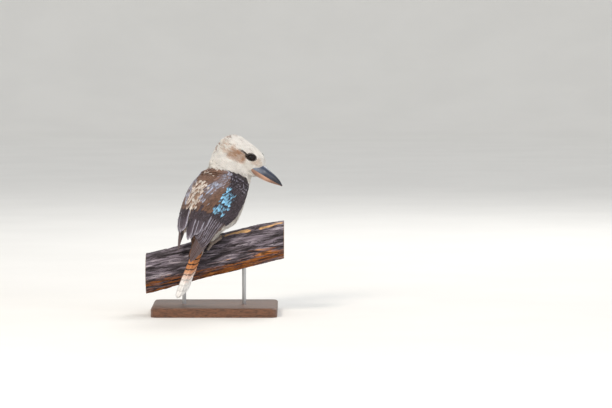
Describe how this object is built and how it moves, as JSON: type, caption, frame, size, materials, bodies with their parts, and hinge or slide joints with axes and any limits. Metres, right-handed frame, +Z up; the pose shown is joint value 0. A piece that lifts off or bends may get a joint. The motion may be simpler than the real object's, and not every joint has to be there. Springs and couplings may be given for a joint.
{
  "type": "laughing kookaburra model on a cut branch with a display stand",
  "caption": "Life-size kookaburra perched on a cut length of branch, head turned over its right shoulder, held by a plain display stand.",
  "frame": {"origin": "middle of the underside of the display stand's base, which is also the middle of the whole object's box in plan", "axes": "+Z up, +X along the branch towards its higher end, +Y away from the side that shows the bird's back"},
  "size_m": [0.276, 0.21, 0.3567],
  "materials": {
    "cream_plumage": "soft cream-white feathers",
    "brown_plumage": "dark brown wing feathers with blue covert spots",
    "rufous_plumage": "rufous tail feathers with black bars and white ends",
    "dark_horn": "satin slate-black horn",
    "pale_horn": "satin pinkish horn",
    "eye": "wet dark brown eye",
    "scaly_skin": "grey-pink scaled skin",
    "bark": "weathered grey bark with rust-brown streaks",
    "oiled_wood": "satin dark wood",
    "steel": "brushed steel"
  },
  "bodies": {
    "root": {"head": "cream_plumage", "neck": "cream_plumage", "torso": "cream_plumage", "leg_left": "cream_plumage", "leg_right": "cream_plumage", "wing_left": "brown_plumage", "wing_right": "brown_plumage", "tail": "rufous_plumage", "bill_upper": "dark_horn", "bill_lower": "pale_horn", "eye_left": "eye", "eye_right": "eye", "foot_left": "scaly_skin", "foot_right": "scaly_skin", "perch_branch": "bark", "stand_base": "oiled_wood", "stand_rod_left": "steel", "stand_rod_right": "steel", "claw_left_hind": "dark_horn", "claw_left_inner": "dark_horn", "claw_left_middle": "dark_horn", "claw_left_outer": "dark_horn", "claw_right_hind": "dark_horn", "claw_right_inner": "dark_horn", "claw_right_middle": "dark_horn", "claw_right_outer": "dark_horn"}
  },
  "joints": []
}
